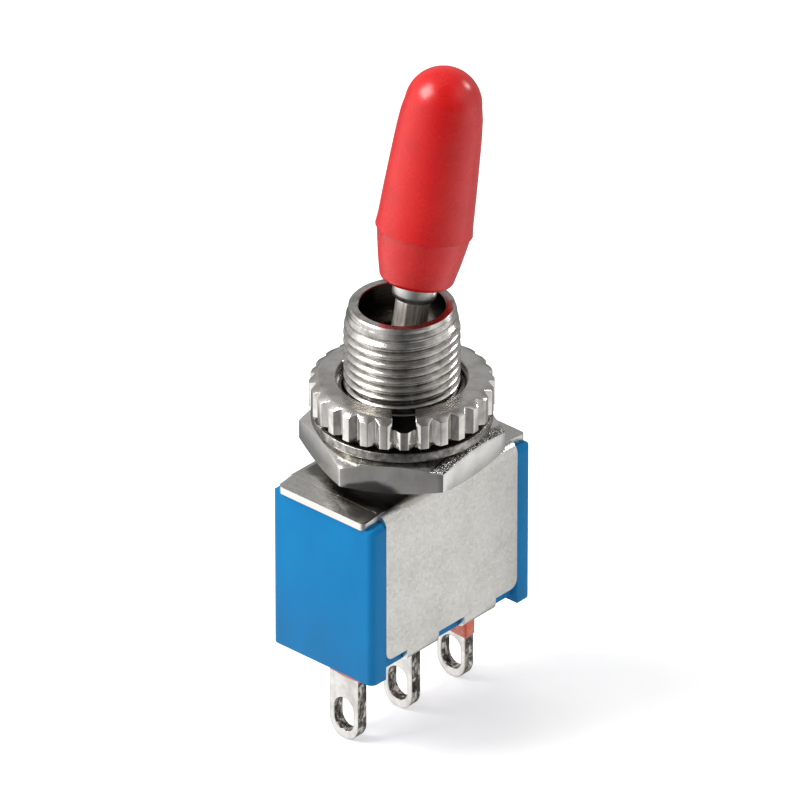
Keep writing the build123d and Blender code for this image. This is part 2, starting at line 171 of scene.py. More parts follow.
def soft_pvc():
    """Soft PVC, dip-moulded: a rubbery skin with a waxy sheen and light that enters its surface."""
    material, tree, place = blank("Dip-moulded soft PVC, red")
    cloud = add(tree, "ShaderNodeTexNoise", {"Vector": place, "Scale": 0.5, "Detail": 3.0})
    colour = add(
        tree, "ShaderNodeValToRGB", {"Fac": cloud},
        stops=[(0.3, "#CF0F12"), (0.5, "#D81214"), (0.72, "#E01816")],
    )
    waves = add(tree, "ShaderNodeTexNoise", {"Vector": place, "Scale": 0.9, "Detail": 2.0})
    skin = add(tree, "ShaderNodeTexNoise", {"Vector": place, "Scale": 9.0, "Detail": 5.0})
    gloss = add(
        tree, "ShaderNodeMapRange",
        {"Value": waves, "From Min": 0.3, "From Max": 0.7, "To Min": 0.25, "To Max": 0.3},
    )
    swell = add(tree, "ShaderNodeBump", {"Height": waves, "Strength": 0.3, "Distance": 0.03 * MM})
    grain = add(
        tree, "ShaderNodeBump",
        {"Height": skin, "Strength": 0.6, "Distance": 0.004 * MM, "Normal": swell},
    )
    shader = add(tree, "ShaderNodeBsdfPrincipled", {
        "Base Color": colour, "Roughness": gloss, "Normal": grain, "IOR": 1.53,
        "Specular IOR Level": 0.5, "Subsurface Weight": 0.12,
        "Subsurface Radius": (0.0012, 0.0003, 0.0002), "Subsurface Scale": 1.0,
    })
    add(tree, "ShaderNodeOutputMaterial", {"Surface": shader})
    return material


def turned_nickel():
    """Bright nickel on screw-cut brass: mirror crests, dull flanks and fine rings round the axis.

    Inside the bore it is painted darker, as the shade in it.
    """
    material, tree, place = blank("Bright nickel plate on screw-cut brass")
    patch = add(tree, "ShaderNodeTexNoise", {"Vector": place, "Scale": 1.6, "Detail": 5.0})
    colour = add(
        tree, "ShaderNodeValToRGB", {"Fac": patch},
        stops=[(0.25, "#928E88"), (0.5, "#C0BDB8"), (0.75, "#DAD8D4")],
    )
    flat_place = add(
        tree, "ShaderNodeVectorMath", {0: place, 1: (1.0, 1.0, 0.0)}, operation="MULTIPLY",
    )
    out = add(tree, "ShaderNodeVectorMath", {0: flat_place}, out="Value", operation="LENGTH")
    # Painted shade: the bore's wall is drawn darker grey, as the shade inside it
    bore = add(tree, "ShaderNodeMath", {0: out, 1: MOUTH_RADIUS + 0.02}, operation="LESS_THAN")
    shade = add(
        tree, "ShaderNodeMix", {0: bore, 6: colour, 7: linear("#6B6864")}, out=2,
        data_type="RGBA",
    )
    # Real feed marks lie about 0.03 mm apart, and are drawn coarser, so that they show
    round_axis = add(
        tree, "ShaderNodeVectorMath", {0: place, 1: (0.25, 0.25, 16.0)}, operation="MULTIPLY",
    )
    rings = add(tree, "ShaderNodeTexNoise", {"Vector": round_axis, "Scale": 1.0, "Detail": 4.0})
    grit = add(tree, "ShaderNodeTexNoise", {"Vector": place, "Scale": 14.0, "Detail": 3.0})
    gloss = add(
        tree, "ShaderNodeMapRange",
        {"Value": patch, "From Min": 0.3, "From Max": 0.7, "To Min": 0.26, "To Max": 0.13},
    )
    cut = add(tree, "ShaderNodeBump", {"Height": rings, "Strength": 0.7, "Distance": 0.012 * MM})
    plate = add(
        tree, "ShaderNodeBump",
        {"Height": grit, "Strength": 0.5, "Distance": 0.006 * MM, "Normal": cut},
    )
    shader = add(tree, "ShaderNodeBsdfPrincipled", {
        "Base Color": shade, "Roughness": gloss, "Normal": plate, "Metallic": 1.0,
    })
    add(tree, "ShaderNodeOutputMaterial", {"Surface": shader})
    return material


def faced_nickel():
    """Bright nickel on a turned ring: the lathe's rings on the flat face, and a clean mirror rim.

    The countersink is drawn dark brown, and the two wrench slots are painted near black as the
    shade in them.
    """
    material, tree, place = blank("Bright nickel plate on a turned ring")
    patch = add(tree, "ShaderNodeTexNoise", {"Vector": place, "Scale": 1.1, "Detail": 4.0})
    clean = add(
        tree, "ShaderNodeValToRGB", {"Fac": patch},
        stops=[(0.3, "#B3AFA9"), (0.55, "#D3D0CB"), (0.8, "#E0DEDA")],
    )
    flat_place = add(
        tree, "ShaderNodeVectorMath", {0: place, 1: (1.0, 1.0, 0.0)}, operation="MULTIPLY",
    )
    out = add(tree, "ShaderNodeVectorMath", {0: flat_place}, out="Value", operation="LENGTH")
    # Real facing rings lie about 0.05 mm apart, and are drawn coarser, so that they show
    across = add(tree, "ShaderNodeCombineXYZ", {"X": out})
    rings = add(
        tree, "ShaderNodeTexNoise",
        {"Vector": across, "Scale": 8.0, "Detail": 4.0, "Roughness": 0.7},
    )
    facing = add(tree, "ShaderNodeNewGeometry", out="Normal")
    upward = add(tree, "ShaderNodeSeparateXYZ", {0: facing}, out="Z")
    flat = add(tree, "ShaderNodeMapRange", {"Value": upward, "From Min": 0.9, "From Max": 0.99})
    turned = add(tree, "ShaderNodeMath", {0: rings, 1: flat}, operation="MULTIPLY")
    # Painted shade: the wrench slots' walls and floor are drawn near black, as the deep shade in
    # them
    along_slot = add(
        tree, "ShaderNodeMapping", {"Vector": place, "Rotation": (0, 0, -radians(SLOT_TURN))},
    )
    _, aside, height = add(tree, "ShaderNodeSeparateXYZ", {0: along_slot}, out=None)
    off_line = add(tree, "ShaderNodeMath", {0: aside}, operation="ABSOLUTE")
    in_width = add(
        tree, "ShaderNodeMath", {0: off_line, 1: SLOT_WIDTH / 2 + 0.01}, operation="LESS_THAN",
    )
    below_face = add(tree, "ShaderNodeMath", {0: height, 1: RING_TOP - 0.04}, operation="LESS_THAN")
    above_floor = add(
        tree, "ShaderNodeMath", {0: height, 1: RING_TOP - SLOT_DEPTH - 0.02},
        operation="GREATER_THAN",
    )
    outside = add(tree, "ShaderNodeMath", {0: out, 1: RING_BORE + 0.07}, operation="GREATER_THAN")
    between = add(tree, "ShaderNodeMath", {0: below_face, 1: above_floor}, operation="MULTIPLY")
    in_slot = add(tree, "ShaderNodeMath", {0: in_width, 1: between}, operation="MULTIPLY")
    painted_slot_shade = add(tree, "ShaderNodeMath", {0: in_slot, 1: outside}, operation="MULTIPLY")
    # The countersink is drawn dark brown
    in_countersink = add(tree, "ShaderNodeMapRange", {
        "Value": out, "From Min": COUNTERSINK_EDGE - 0.04, "From Max": COUNTERSINK_EDGE + 0.04,
        "To Min": 0.75, "To Max": 0.0,
    })
    countersink_darkened = add(
        tree, "ShaderNodeMix", {0: in_countersink, 6: clean, 7: linear("#3B3630")}, out=2,
        data_type="RGBA",
    )
    colour = add(
        tree, "ShaderNodeMix", {0: painted_slot_shade, 6: countersink_darkened, 7: linear("#141210")}, out=2,
        data_type="RGBA",
    )
    grit = add(tree, "ShaderNodeTexNoise", {"Vector": place, "Scale": 12.0, "Detail": 3.0})
    bright = add(
        tree, "ShaderNodeMapRange",
        {"Value": turned, "From Min": 0.0, "From Max": 0.8, "To Min": 0.13, "To Max": 0.34},
    )
    gloss = add(tree, "ShaderNodeMath", {0: painted_slot_shade, 1: 0.5, 2: bright}, operation="MULTIPLY_ADD")
    lathe_marks = add(
        tree, "ShaderNodeBump", {"Height": turned, "Strength": 0.8, "Distance": 0.014 * MM},
    )
    plate = add(
        tree, "ShaderNodeBump",
        {"Height": grit, "Strength": 0.4, "Distance": 0.005 * MM, "Normal": lathe_marks},
    )
    shader = add(tree, "ShaderNodeBsdfPrincipled", {
        "Base Color": colour, "Roughness": gloss, "Normal": plate, "Metallic": 1.0,
    })
    add(tree, "ShaderNodeOutputMaterial", {"Surface": shader})
    return material


def drawn_nickel():
    """Bright nickel on drawn hexagon bar: faint die lines up the flats.

    The chamfering tool has torn the metal at one corner.
    """
    material, tree, place = blank("Bright nickel plate on drawn hexagon bar")
    patch = add(tree, "ShaderNodeTexNoise", {"Vector": place, "Scale": 0.9, "Detail": 4.0})
    clean = add(
        tree, "ShaderNodeValToRGB", {"Fac": patch},
        stops=[(0.3, "#C6C4C0"), (0.55, "#D8D6D2"), (0.8, "#E2E0DD")],
    )
    # Real die lines are finer than 0.05 mm, and are drawn coarser, so that they show
    up_flat = add(
        tree, "ShaderNodeVectorMath", {0: place, 1: (7.0, 7.0, 0.4)}, operation="MULTIPLY",
    )
    lines = add(tree, "ShaderNodeTexNoise", {"Vector": up_flat, "Scale": 1.0, "Detail": 3.0})
    torn_way = (cos(radians(TORN_CORNER)), sin(radians(TORN_CORNER)), 0.0)
    out = add(
        tree, "ShaderNodeVectorMath", {0: place, 1: torn_way}, out="Value",
        operation="DOT_PRODUCT",
    )
    near_corner = add(
        tree, "ShaderNodeMapRange",
        {"Value": out, "From Min": TORN_REACH, "From Max": TORN_REACH + 0.3},
    )
    facing = add(tree, "ShaderNodeNewGeometry", out="Normal")
    upward = add(tree, "ShaderNodeSeparateXYZ", {0: facing}, out="Z")
    on_cone = add(tree, "ShaderNodeMapRange", {"Value": upward, "From Min": 0.12, "From Max": 0.3})
    torn = add(tree, "ShaderNodeMath", {0: near_corner, 1: on_cone}, operation="MULTIPLY")
    tear = add(
        tree, "ShaderNodeTexNoise",
        {"Vector": place, "Scale": 3.2, "Detail": 5.0, "Roughness": 0.75, "Distortion": 1.2},
    )
    rag = add(
        tree, "ShaderNodeValToRGB", {"Fac": tear},
        stops=[(0.4, "#2B2926"), (0.48, "#8E8B86"), (0.58, "#EFEEEB")],
    )
    colour = add(tree, "ShaderNodeMix", {0: torn, 6: clean, 7: rag}, out=2, data_type="RGBA")
    gloss = add(
        tree, "ShaderNodeMapRange",
        {"Value": patch, "From Min": 0.3, "From Max": 0.7, "To Min": 0.22, "To Max": 0.13},
    )
    rags = add(tree, "ShaderNodeMath", {0: tear, 1: torn}, operation="MULTIPLY")
    die = add(tree, "ShaderNodeBump", {"Height": lines, "Strength": 0.3, "Distance": 0.004 * MM})
    burr = add(
        tree, "ShaderNodeBump",
        {"Height": rags, "Strength": 0.9, "Distance": 0.2 * MM, "Normal": die},
    )
    shader = add(tree, "ShaderNodeBsdfPrincipled", {
        "Base Color": colour, "Roughness": gloss, "Normal": burr, "Metallic": 1.0,
    })
    add(tree, "ShaderNodeOutputMaterial", {"Surface": shader})
    return material


def stamped_nickel():
    """Nickel on stamped spring steel: darker than the nuts, with small burrs and specks."""
    material, tree, place = blank("Nickel plate on stamped spring steel")
    patch = add(tree, "ShaderNodeTexNoise", {"Vector": place, "Scale": 2.4, "Detail": 5.0})
    colour = add(
        tree, "ShaderNodeValToRGB", {"Fac": patch},
        stops=[(0.3, "#5B5753"), (0.5, "#8E8B86"), (0.75, "#BBB8B4")],
    )
    burr = add(tree, "ShaderNodeTexNoise", {"Vector": place, "Scale": 6.0, "Detail": 4.0})
    gloss = add(
        tree, "ShaderNodeMapRange",
        {"Value": patch, "From Min": 0.3, "From Max": 0.7, "To Min": 0.4, "To Max": 0.24},
    )
    rough = add(tree, "ShaderNodeBump", {"Height": burr, "Strength": 0.7, "Distance": 0.03 * MM})
    shader = add(tree, "ShaderNodeBsdfPrincipled", {
        "Base Color": colour, "Roughness": gloss, "Normal": rough, "Metallic": 1.0,
    })
    add(tree, "ShaderNodeOutputMaterial", {"Surface": shader})
    return material


def lever_nickel():
    """Satin nickel on a turned lever: a polished collar, and a neck milled with cutter lines."""
    material, tree, place = blank("Satin nickel plate on a turned lever")
    upright = add(tree, "ShaderNodeMapping", {"Vector": place, "Rotation": (0.0, -LEAN, 0.0)})
    height = add(tree, "ShaderNodeSeparateXYZ", {0: upright}, out="Z")
    milled = add(tree, "ShaderNodeMapRange", {
        "Value": height, "From Min": NECK_TOP - 0.06, "From Max": NECK_TOP + 0.02,
        "To Min": 1.0, "To Max": 0.0,
    })
    # Real cutter lines are finer than 0.05 mm, and are drawn coarser, so that they show
    down_neck = add(
        tree, "ShaderNodeVectorMath", {0: upright, 1: (8.0, 8.0, 0.6)}, operation="MULTIPLY",
    )
    lines = add(
        tree, "ShaderNodeTexNoise",
        {"Vector": down_neck, "Scale": 1.0, "Detail": 5.0, "Roughness": 0.65},
    )
    brushed = add(
        tree, "ShaderNodeValToRGB", {"Fac": lines},
        stops=[(0.32, "#B3AAA0"), (0.5, "#ECE6DD"), (0.66, "#FFFBF4")],
    )
    cloud = add(tree, "ShaderNodeTexNoise", {"Vector": place, "Scale": 1.2, "Detail": 3.0})
    polished = add(
        tree, "ShaderNodeValToRGB", {"Fac": cloud},
        stops=[(0.3, "#C9CBC8"), (0.7, "#E4E6E3")],
    )
    colour = add(
        tree, "ShaderNodeMix", {0: milled, 6: polished, 7: brushed}, out=2, data_type="RGBA",
    )
    gloss = add(tree, "ShaderNodeMapRange", {"Value": milled, "To Min": 0.34, "To Max": 0.5})
    cutter = add(tree, "ShaderNodeMath", {0: lines, 1: milled}, operation="MULTIPLY")
    marks = add(tree, "ShaderNodeBump", {"Height": cutter, "Strength": 0.7, "Distance": 0.03 * MM})
    shader = add(tree, "ShaderNodeBsdfPrincipled", {
        "Base Color": colour, "Roughness": gloss, "Normal": marks, "Metallic": 1.0,
    })
    add(tree, "ShaderNodeOutputMaterial", {"Surface": shader})
    return material


def tinned_sheet():
    """Tin plate on rolled steel: a satin skin, mottled where the tin froze.

    It is rubbed glossier on the top, where the nuts are handled, and painted near black there
    beside the hex nut as the nut's shadow and reflection. The sheet's ends are painted lighter as a
    highlight.
    """
    material, tree, place = blank("Tin plate on rolled steel sheet")
    mottle = add(
        tree, "ShaderNodeTexNoise",
        {"Vector": place, "Scale": 6.5, "Detail": 6.0, "Roughness": 0.7},
    )
    cloud = add(tree, "ShaderNodeTexNoise", {"Vector": place, "Scale": 0.6, "Detail": 3.0})
    both = add(tree, "ShaderNodeMix", {0: 0.25, 2: mottle, 3: cloud}, data_type="FLOAT")
    clean = add(
        tree, "ShaderNodeValToRGB", {"Fac": both},
        stops=[(0.32, "#B9B6B1"), (0.5, "#CAC8C3"), (0.68, "#D7D5D2")],
    )
    facing = add(tree, "ShaderNodeNewGeometry", out="Normal")
    sideways, _, upward = add(tree, "ShaderNodeSeparateXYZ", {0: facing}, out=None)
    endways = add(tree, "ShaderNodeMath", {0: sideways}, operation="ABSOLUTE")
    # Painted highlight: the sheet's ends, which face along X, are drawn lighter
    end_highlight = add(
        tree, "ShaderNodeMapRange", {"Value": endways, "From Min": 0.85, "From Max": 1.0},
    )
    with_end_highlight = add(
        tree, "ShaderNodeMix", {0: end_highlight, 6: clean, 7: linear("#DDDBD6")}, out=2,
        data_type="RGBA",
    )
    # Painted shadow and reflection of the hex nut: beside the nut the top is drawn near black, with
    # a mottled edge
    edge_on = add(
        tree, "ShaderNodeVectorMath", {0: place, 1: (0.75, -0.66, 0.0)}, out="Value",
        operation="DOT_PRODUCT",
    )
    blurred = add(tree, "ShaderNodeMath", {0: mottle, 1: 1.6, 2: edge_on}, operation="MULTIPLY_ADD")
    beside_nut = add(
        tree, "ShaderNodeMapRange", {"Value": blurred, "From Min": -3.6, "From Max": -2.9},
    )
    across = add(tree, "ShaderNodeSeparateXYZ", {0: place}, out="X")
    near_end = add(
        tree, "ShaderNodeMapRange",
        {"Value": across, "From Min": -4.0, "From Max": -3.0, "To Min": 0.78, "To Max": 0.0},
    )
    on_top = add(tree, "ShaderNodeMapRange", {"Value": upward, "From Min": 0.9, "From Max": 0.98})
    patch = add(tree, "ShaderNodeMath", {0: beside_nut, 1: near_end}, operation="MULTIPLY")
    painted_nut_shadow = add(tree, "ShaderNodeMath", {0: patch, 1: on_top}, operation="MULTIPLY")
    colour = add(
        tree, "ShaderNodeMix", {0: painted_nut_shadow, 6: with_end_highlight, 7: linear("#2E2B28")}, out=2,
        data_type="RGBA",
    )
    # Real rolling lines are finer than 0.05 mm, and are drawn coarser, so that they show
    rolled = add(tree, "ShaderNodeVectorMath", {0: place, 1: (1.2, 1.2, 8.0)}, operation="MULTIPLY")
    grain = add(tree, "ShaderNodeTexNoise", {"Vector": rolled, "Scale": 1.0, "Detail": 4.0})
    satin = add(
        tree, "ShaderNodeMapRange",
        {"Value": mottle, "From Min": 0.3, "From Max": 0.7, "To Min": 0.36, "To Max": 0.24},
    )
    rubbed = add(
        tree, "ShaderNodeMapRange",
        {"Value": upward, "From Min": 0.3, "From Max": 0.9, "To Min": 0.0, "To Max": 0.12},
    )
    gloss = add(tree, "ShaderNodeMath", {0: satin, 1: rubbed}, operation="SUBTRACT")
    roll_lines = add(
        tree, "ShaderNodeBump", {"Height": grain, "Strength": 0.4, "Distance": 0.006 * MM},
    )
    skin = add(
        tree, "ShaderNodeBump",
        {"Height": mottle, "Strength": 0.7, "Distance": 0.016 * MM, "Normal": roll_lines},
    )
    shader = add(tree, "ShaderNodeBsdfPrincipled", {
        "Base Color": colour, "Roughness": gloss, "Normal": skin, "Metallic": 1.0,
    })
    add(tree, "ShaderNodeOutputMaterial", {"Surface": shader})
    return material


def blue_resin():
    """Filled thermoset, compression-moulded: a satin blue with a faint flow and a fine tooth."""
    material, tree, place = blank("Compression-moulded thermoset, blue")
    drawn_out = add(
        tree, "ShaderNodeVectorMath", {0: place, 1: (1.0, 1.0, 0.5)}, operation="MULTIPLY",
    )
    flow = add(tree, "ShaderNodeTexNoise", {"Vector": drawn_out, "Scale": 0.35, "Detail": 4.0})
    colour = add(
        tree, "ShaderNodeValToRGB", {"Fac": flow},
        stops=[(0.3, "#0477B3"), (0.5, "#057DBB"), (0.7, "#0883C1")],
    )
    tooth = add(tree, "ShaderNodeTexNoise", {"Vector": place, "Scale": 11.0, "Detail": 4.0})
    gloss = add(
        tree, "ShaderNodeMapRange",
        {"Value": flow, "From Min": 0.3, "From Max": 0.7, "To Min": 0.44, "To Max": 0.52},
    )
    skin = add(tree, "ShaderNodeBump", {"Height": tooth, "Strength": 0.5, "Distance": 0.006 * MM})
    shader = add(tree, "ShaderNodeBsdfPrincipled", {
        "Base Color": colour, "Roughness": gloss, "Normal": skin, "IOR": 1.5,
        "Specular IOR Level": 0.16,
    })
    add(tree, "ShaderNodeOutputMaterial", {"Surface": shader})
    return material


def dipped_tin():
    """Tin on stamped brass: smooth and bright on the broad faces.

    It is lumpy on the sheared edges and in the eyelet, where the lumps are painted dark and light
    as shade and glints.
    """
    material, tree, place = blank("Dipped tin on stamped brass")
    facing = add(tree, "ShaderNodeNewGeometry", out="Normal")
    sideways = add(tree, "ShaderNodeSeparateXYZ", {0: facing}, out="X")
    broad = add(tree, "ShaderNodeMath", {0: sideways}, operation="ABSOLUTE")
    edge = add(
        tree, "ShaderNodeMapRange",
        {"Value": broad, "From Min": 0.5, "From Max": 0.9, "To Min": 1.0, "To Max": 0.0},
    )
    drawn_out = add(
        tree, "ShaderNodeVectorMath", {0: place, 1: (3.4, 3.4, 1.9)}, operation="MULTIPLY",
    )
    lumps = add(
        tree, "ShaderNodeTexNoise",
        {"Vector": drawn_out, "Scale": 1.0, "Detail": 5.0, "Roughness": 0.7, "Distortion": 0.6},
    )
    rough = add(tree, "ShaderNodeMath", {0: lumps, 1: edge}, operation="MULTIPLY")
    # Painted shade and glints: the lumps are drawn from near black to near white, as shade and
    # reflections on them
    lumps_painted_shade_and_glints = add(
        tree, "ShaderNodeValToRGB", {"Fac": lumps},
        stops=[(0.37, "#2A2622"), (0.49, "#67625C"), (0.55, "#B5B0A9"), (0.63, "#F4F1EC")],
    )
    smooth = add(tree, "ShaderNodeTexNoise", {"Vector": place, "Scale": 1.1, "Detail": 4.0})
    even = add(
        tree, "ShaderNodeValToRGB", {"Fac": smooth},
        stops=[(0.35, "#BAB7B3"), (0.5, "#C9C7C3"), (0.65, "#D5D3CF")],
    )
    colour = add(tree, "ShaderNodeMix", {0: edge, 6: even, 7: lumps_painted_shade_and_glints}, out=2, data_type="RGBA")
    gloss = add(
        tree, "ShaderNodeMapRange",
        {"Value": rough, "From Min": 0.0, "From Max": 0.6, "To Min": 0.24, "To Max": 0.38},
    )
    wave = add(tree, "ShaderNodeBump", {"Height": smooth, "Strength": 0.4, "Distance": 0.02 * MM})
    lumpy = add(
        tree, "ShaderNodeBump",
        {"Height": rough, "Strength": 0.9, "Distance": 0.2 * MM, "Normal": wave},
    )
    shader = add(tree, "ShaderNodeBsdfPrincipled", {
        "Base Color": colour, "Roughness": gloss, "Normal": lumpy, "Metallic": 1.0,
    })
    add(tree, "ShaderNodeOutputMaterial", {"Surface": shader})
    return material


def poured_resin():
    """Epoxy, poured and cured: a wet gloss over an orange-red pigment that has settled."""
    material, tree, place = blank("Poured epoxy, orange-red")
    cloud = add(tree, "ShaderNodeTexNoise", {"Vector": place, "Scale": 1.8, "Detail": 4.0})
    colour = add(
        tree, "ShaderNodeValToRGB", {"Fac": cloud},
        stops=[(0.3, "#F4583A"), (0.5, "#FA6C4A"), (0.75, "#FF9076")],
    )
    lumps = add(tree, "ShaderNodeTexNoise", {"Vector": place, "Scale": 2.2, "Detail": 3.0})
    gloss = add(
        tree, "ShaderNodeMapRange",
        {"Value": cloud, "From Min": 0.3, "From Max": 0.7, "To Min": 0.18, "To Max": 0.3},
    )
    runs = add(tree, "ShaderNodeBump", {"Height": lumps, "Strength": 0.6, "Distance": 0.06 * MM})
    shader = add(tree, "ShaderNodeBsdfPrincipled", {
        "Base Color": colour, "Roughness": gloss, "Normal": runs, "IOR": 1.55,
        "Subsurface Weight": 0.2, "Subsurface Radius": (0.0006, 0.0002, 0.0001),
        "Subsurface Scale": 1.0,
    })
    add(tree, "ShaderNodeOutputMaterial", {"Surface": shader})
    return material


def drawn_steel():
    """Bright drawn steel wire and pin: long draw lines and a little oil stain."""
    material, tree, place = blank("Bright drawn steel")
    # Real draw lines are finer than 0.02 mm, and are drawn coarser, so that they show
    along_pin = add(
        tree, "ShaderNodeVectorMath", {0: place, 1: (12.0, 1.0, 12.0)}, operation="MULTIPLY",
    )
    lines = add(tree, "ShaderNodeTexNoise", {"Vector": along_pin, "Scale": 1.0, "Detail": 4.0})
    colour = add(
        tree, "ShaderNodeValToRGB", {"Fac": lines}, stops=[(0.3, "#8A8A8C"), (0.7, "#B9B9BA")],
    )
    gloss = add(
        tree, "ShaderNodeMapRange",
        {"Value": lines, "From Min": 0.3, "From Max": 0.7, "To Min": 0.35, "To Max": 0.22},
    )
    marks = add(tree, "ShaderNodeBump", {"Height": lines, "Strength": 0.5, "Distance": 0.004 * MM})
    shader = add(tree, "ShaderNodeBsdfPrincipled", {
        "Base Color": colour, "Roughness": gloss, "Normal": marks, "Metallic": 1.0,
    })
    add(tree, "ShaderNodeOutputMaterial", {"Surface": shader})
    return material


def acetal():
    """Acetal, injection-moulded: a waxy off-white that light enters a little."""
    material, tree, place = blank("Injection-moulded acetal, natural")
    cloud = add(tree, "ShaderNodeTexNoise", {"Vector": place, "Scale": 1.5, "Detail": 3.0})
    colour = add(
        tree, "ShaderNodeValToRGB", {"Fac": cloud}, stops=[(0.3, "#DDD9CC"), (0.7, "#EDEAE0")],
    )
    gloss = add(
        tree, "ShaderNodeMapRange",
        {"Value": cloud, "From Min": 0.3, "From Max": 0.7, "To Min": 0.4, "To Max": 0.5},
    )
    tooth = add(tree, "ShaderNodeTexNoise", {"Vector": place, "Scale": 12.0, "Detail": 4.0})
    skin = add(tree, "ShaderNodeBump", {"Height": tooth, "Strength": 0.5, "Distance": 0.004 * MM})
    shader = add(tree, "ShaderNodeBsdfPrincipled", {
        "Base Color": colour, "Roughness": gloss, "Normal": skin, "IOR": 1.48,
        "Subsurface Weight": 0.15, "Subsurface Radius": (0.0005, 0.0005, 0.0004),
        "Subsurface Scale": 1.0,
    })
    add(tree, "ShaderNodeOutputMaterial", {"Surface": shader})
    return material


def contact_silver():
    """Silver rivet, headed cold: soft white metal with a slight yellow tarnish."""
    material, tree, place = blank("Cold-headed silver rivet")
    cloud = add(tree, "ShaderNodeTexNoise", {"Vector": place, "Scale": 2.5, "Detail": 4.0})
    colour = add(
        tree, "ShaderNodeValToRGB", {"Fac": cloud}, stops=[(0.3, "#C9C0AC"), (0.7, "#E8E4DA")],
    )
    gloss = add(
        tree, "ShaderNodeMapRange",
        {"Value": cloud, "From Min": 0.3, "From Max": 0.7, "To Min": 0.4, "To Max": 0.25},
    )
    dents = add(tree, "ShaderNodeTexNoise", {"Vector": place, "Scale": 9.0, "Detail": 4.0})
    skin = add(tree, "ShaderNodeBump", {"Height": dents, "Strength": 0.5, "Distance": 0.006 * MM})
    shader = add(tree, "ShaderNodeBsdfPrincipled", {
        "Base Color": colour, "Roughness": gloss, "Normal": skin, "Metallic": 1.0,
    })
    add(tree, "ShaderNodeOutputMaterial", {"Surface": shader})
    return material


materials = {
    "cap": soft_pvc(),
    "thread": turned_nickel(),
    "ring": faced_nickel(),
    "hexagon": drawn_nickel(),
    "washer": stamped_nickel(),
    "lever": lever_nickel(),
    "sheet": tinned_sheet(),
    "case": blue_resin(),
    "lug": dipped_tin(),
    "resin": poured_resin(),
    "steel": drawn_steel(),
    "acetal": acetal(),
    "silver": contact_silver(),
}


# Meshes


def mesh_of(shape, name):
    """A closed form as a mesh, with its faces turned outward."""
    bmesh.ops.recalc_face_normals(shape, faces=shape.faces)
    mesh = bpy.data.meshes.new(name)
    shape.to_mesh(mesh)
    shape.free()
    return mesh


def as_piece(name, mesh, material, body, stands_for):
    """A finished mesh as a shown piece that stands for a solid and moves with its body."""
    piece = bpy.data.objects.new(name, mesh)
    bpy.context.scene.collection.objects.link(piece)
    mesh.materials.clear()
    mesh.materials.append(material)
    mesh.shade_smooth()
    mesh.set_sharp_from_angle(angle=SMOOTH_BELOW)
    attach(piece, body)
    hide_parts(stands_for)
    return piece


def lathe(name, profile, lean=0.0, flats=None, steps=128):
    """A closed profile of (radius, height) turned round the Z axis, or round the lever's axis.

    flats is (lowest, highest, width) for a stretch that is eight-sided instead of round.
    """
    along = Vector((sin(lean), 0, cos(lean)))
    across = Vector((cos(lean), 0, -sin(lean)))
    facet = pi / 4
    shape = bmesh.new()
    rings = []
    for radius, height in profile:
        ring = []
        for step in range(steps):
            angle = 2 * pi * step / steps
            reach = radius
            if flats and flats[0] <= height <= flats[1]:
                off = (angle + facet / 2) % facet - facet / 2
                reach = flats[2] / 2 / cos(off)
            side = across * cos(angle) + Vector((0, 1, 0)) * sin(angle)
            ring.append(shape.verts.new((along * height + side * reach) * MM))
            if radius == 0:
                ring = ring * steps
                break
        rings.append(ring)
    for lower, upper in zip(rings, rings[1:] + rings[:1]):
        for step in range(steps):
            after = (step + 1) % steps
            corners = [lower[step], lower[after], upper[after], upper[step]]
            corners = list(dict.fromkeys(corners))
            if len(corners) > 2:
                shape.faces.new(corners)
    return mesh_of(shape, name)


def arc(centre_radius, centre_height, reach, start, end, count):
    """Points on an arc in a profile, with angles in degrees from the outward direction."""
    points = []
    for index in range(count + 1):
        angle = radians(start + (end - start) * index / count)
        points.append((centre_radius + reach * cos(angle), centre_height + reach * sin(angle)))
    return points


def softened(node, width, steps):
    """A copy of a solid's mesh with its flat faces joined and its sharp edges rounded over."""
    shape = bmesh.new()
    shape.from_mesh(nodes[node].data)
    bmesh.ops.remove_doubles(shape, verts=shape.verts, dist=0.001 * MM)
    bmesh.ops.dissolve_limit(shape, angle_limit=FLAT_BELOW, verts=shape.verts, edges=shape.edges)
    sharp = [
        edge for edge in shape.edges
        if len(edge.link_faces) == 2 and edge.calc_face_angle(0.0) > ROUNDED_ABOVE
    ]
    bmesh.ops.bevel(
        shape, geom=sharp, offset=width * MM, offset_type="OFFSET", segments=steps,
        profile=0.5, affect="EDGES", clamp_overlap=True,
    )
    bmesh.ops.triangulate(shape, faces=shape.faces)
    return mesh_of(shape, node + "_softened")


def resin_bead(name, middle, creep):
    """Resin that fills a lug's pocket and has crept down the lug to an uneven edge."""
    lug_x, lug_y = LUG_HALF
    levels = [
        (*POCKET_HALF, 0.78), (*POCKET_HALF, 0.02),
        (lug_x + 0.23, lug_y + 0.23, -0.01), (lug_x + 0.12, lug_y + 0.12, -0.08),
        (lug_x + 0.11, lug_y + 0.11, -creep * 0.6), (lug_x + 0.10, lug_y + 0.10, 0.08 - creep),
        (lug_x + 0.055, lug_y + 0.055, -creep),
    ]
    steps = 64
    shape = bmesh.new()
    rings = []
    for half_x, half_y, height in levels:
        ring = []
        for step in range(steps):
            # A superellipse gives each section round corners
            angle = 2 * pi * step / steps
            swell = (abs(cos(angle)) ** 8 + abs(sin(angle)) ** 8) ** -0.125
            x, y = half_x * cos(angle) * swell, half_y * sin(angle) * swell
            spot = Vector((x, y, CASE_UNDERSIDE + height))
            if height < -0.1:
                spot.z += 0.07 * noise_at(spot * 1.7 + Vector((middle, 3.0, 1.0)))
            ring.append(shape.verts.new((spot + Vector((middle, 0, 0))) * MM))
        rings.append(ring)
    for upper, lower in zip(rings, rings[1:]):
        for step in range(steps):
            after = (step + 1) % steps
            shape.faces.new((upper[step], upper[after], lower[after], lower[step]))
    shape.faces.new(rings[0])
    shape.faces.new(rings[-1])
    return mesh_of(shape, name)


